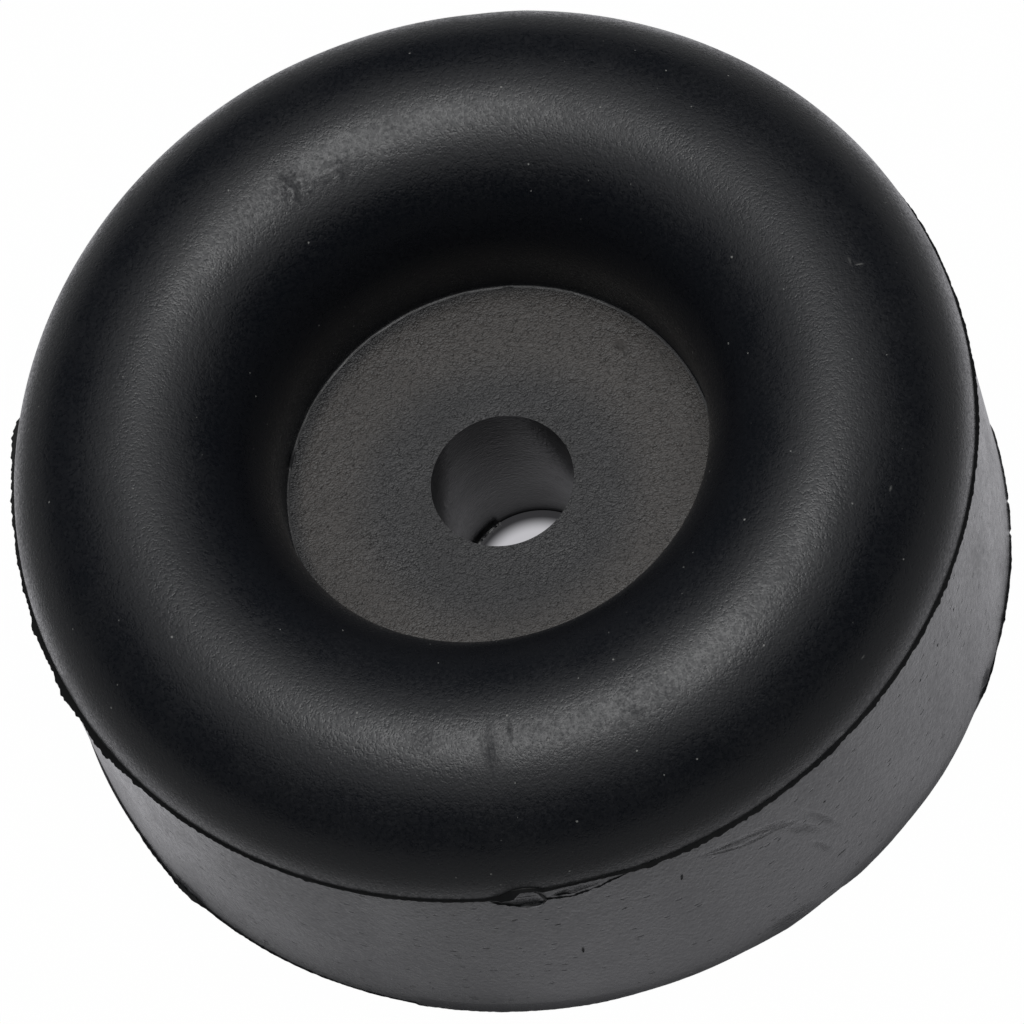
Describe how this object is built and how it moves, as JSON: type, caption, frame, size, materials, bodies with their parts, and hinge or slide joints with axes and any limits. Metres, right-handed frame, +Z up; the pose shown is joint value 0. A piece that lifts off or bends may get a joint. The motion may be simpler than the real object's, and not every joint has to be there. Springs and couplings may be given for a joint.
{
  "type": "rubber vibration mount",
  "caption": "Round moulded rubber vibration mount with a half-round crown, a recessed flat seat for a washer and a through bore for the fixing bolt.",
  "frame": {"origin": "on the bore's axis, in the plane of the flat base", "axes": "+Z up along the bore's axis from the base to the crown; X and Y in the plane of the base, with no preferred direction"},
  "size_m": [0.0606, 0.0606, 0.025],
  "materials": {
    "rubber": "satin"
  },
  "bodies": {
    "root": {"rubber_mount": "rubber"}
  },
  "joints": []
}
